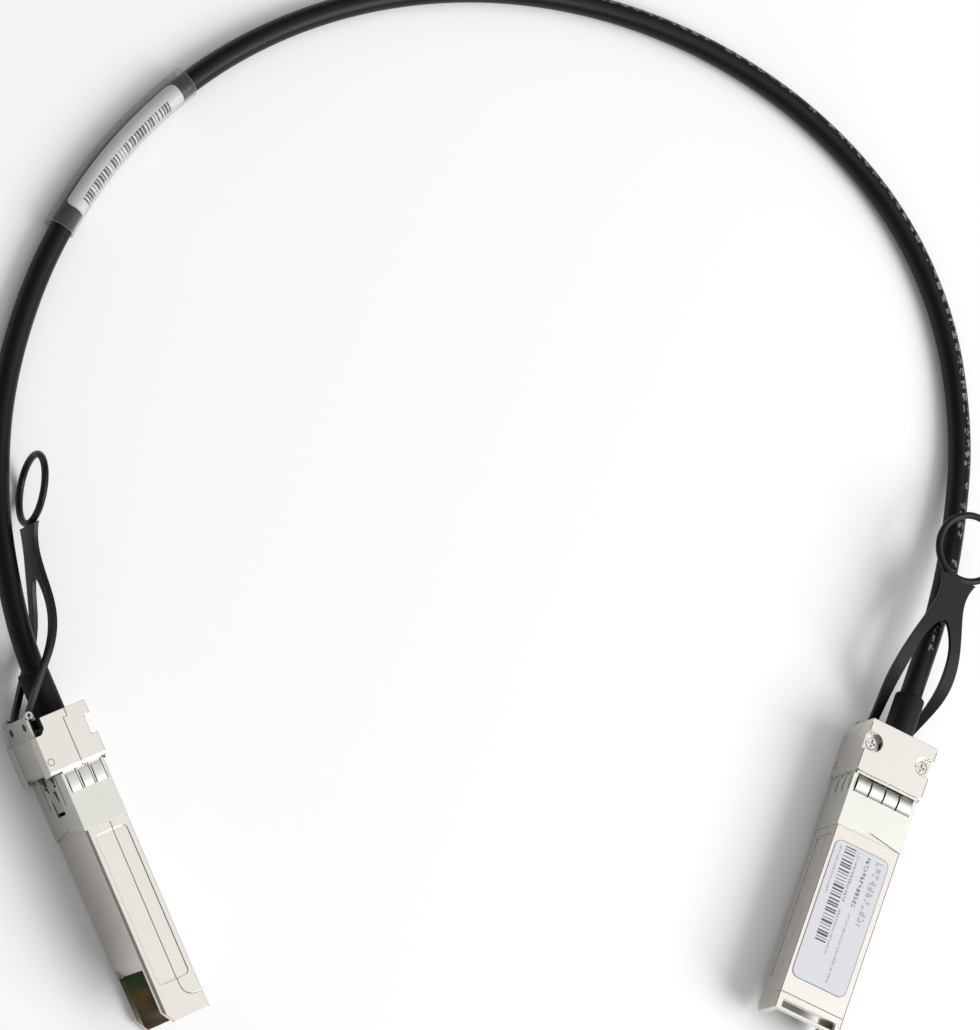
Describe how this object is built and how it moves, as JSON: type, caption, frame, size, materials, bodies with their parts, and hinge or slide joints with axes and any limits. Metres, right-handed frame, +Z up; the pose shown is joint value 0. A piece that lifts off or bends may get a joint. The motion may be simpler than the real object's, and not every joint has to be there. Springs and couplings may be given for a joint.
{
  "type": "direct attach copper cable",
  "caption": "Short twinax cable with a metal pluggable module at each end, spring latch with looped pull tab, and a clear identification sleeve.",
  "frame": {"origin": "centre of the two plugs' bounding box in plan, on the surface they lie on", "axes": "+Z up off the surface; +X from the plug standing on its narrow side to the plug lying flat; +Y towards the cable's loop"},
  "size_m": [0.1977, 0.1975, 0.014],
  "materials": {
    "shell_metal": "satin nickel plate",
    "collar_metal": "satin",
    "screw_metal": "bright",
    "latch_metal": "satin",
    "board": "solder mask",
    "contact_gold": "bright",
    "chip_plastic": "matt",
    "boot_rubber": "matt",
    "ferrule_metal": "satin",
    "lead_plastic": "satin",
    "tab_plastic": "satin",
    "label_paper": "satin",
    "cable_jacket": "satin",
    "sleeve_film": "clear",
    "tag_paper": "satin"
  },
  "bodies": {
    "assembly": {"base_shell_a": "shell_metal", "cover_shell_a": "shell_metal", "emi_collar_a": "collar_metal", "cover_screws_a": "screw_metal", "circuit_board_a": "board", "contact_pads_a": "contact_gold", "memory_chip_a": "chip_plastic", "cable_boot_a": "boot_rubber", "crimp_ferrule_a": "ferrule_metal", "signal_leads_a": "lead_plastic", "latch_pin_a": "screw_metal", "return_spring_a": "latch_metal", "plug_label_a": "label_paper", "base_shell_b": "shell_metal", "cover_shell_b": "shell_metal", "emi_collar_b": "collar_metal", "cover_screws_b": "screw_metal", "circuit_board_b": "board", "contact_pads_b": "contact_gold", "memory_chip_b": "chip_plastic", "cable_boot_b": "boot_rubber", "crimp_ferrule_b": "ferrule_metal", "signal_leads_b": "lead_plastic", "latch_pin_b": "screw_metal", "return_spring_b": "latch_metal", "plug_label_b": "label_paper", "cable": "cable_jacket", "id_sleeve": "sleeve_film", "id_tag": "tag_paper"},
    "latch_a": {"latch_slider_a": "latch_metal", "pull_tab_a": "tab_plastic"},
    "rocker_a": {"latch_rocker_a": "latch_metal"},
    "latch_b": {"latch_slider_b": "latch_metal", "pull_tab_b": "tab_plastic"},
    "rocker_b": {"latch_rocker_b": "latch_metal"}
  },
  "joints": [
    {"name": "latch_slide_a", "type": "slide", "parent": "assembly", "child": "latch_a", "axis": [-0.4274, 0.9041, 0], "range_m": [0, 0.0022], "stiffness_N_per_m": 300, "springref_m": -0.003, "deforming": ["return_spring_a"]},
    {"name": "rocker_tilt_a", "type": "hinge", "parent": "assembly", "child": "rocker_a", "pos_m": [-0.08747, -0.01454, 0.007], "axis": [0, 0, -1], "range_deg": [0, 9.5]},
    {"name": "latch_slide_b", "type": "slide", "parent": "assembly", "child": "latch_b", "axis": [0.3584, 0.9336, 0], "range_m": [0, 0.0022], "stiffness_N_per_m": 300, "springref_m": -0.003, "deforming": ["return_spring_b"]},
    {"name": "rocker_tilt_b", "type": "hinge", "parent": "assembly", "child": "rocker_b", "pos_m": [0.07034, -0.00596, 0.00235], "axis": [0.9336, -0.3584, 0], "range_deg": [0, 9.5]}
  ],
  "couplings": [
    {"joint": "rocker_tilt_a", "follows": "latch_slide_a", "rad_per_m": 75.346},
    {"joint": "rocker_tilt_b", "follows": "latch_slide_b", "rad_per_m": 75.346}
  ]
}
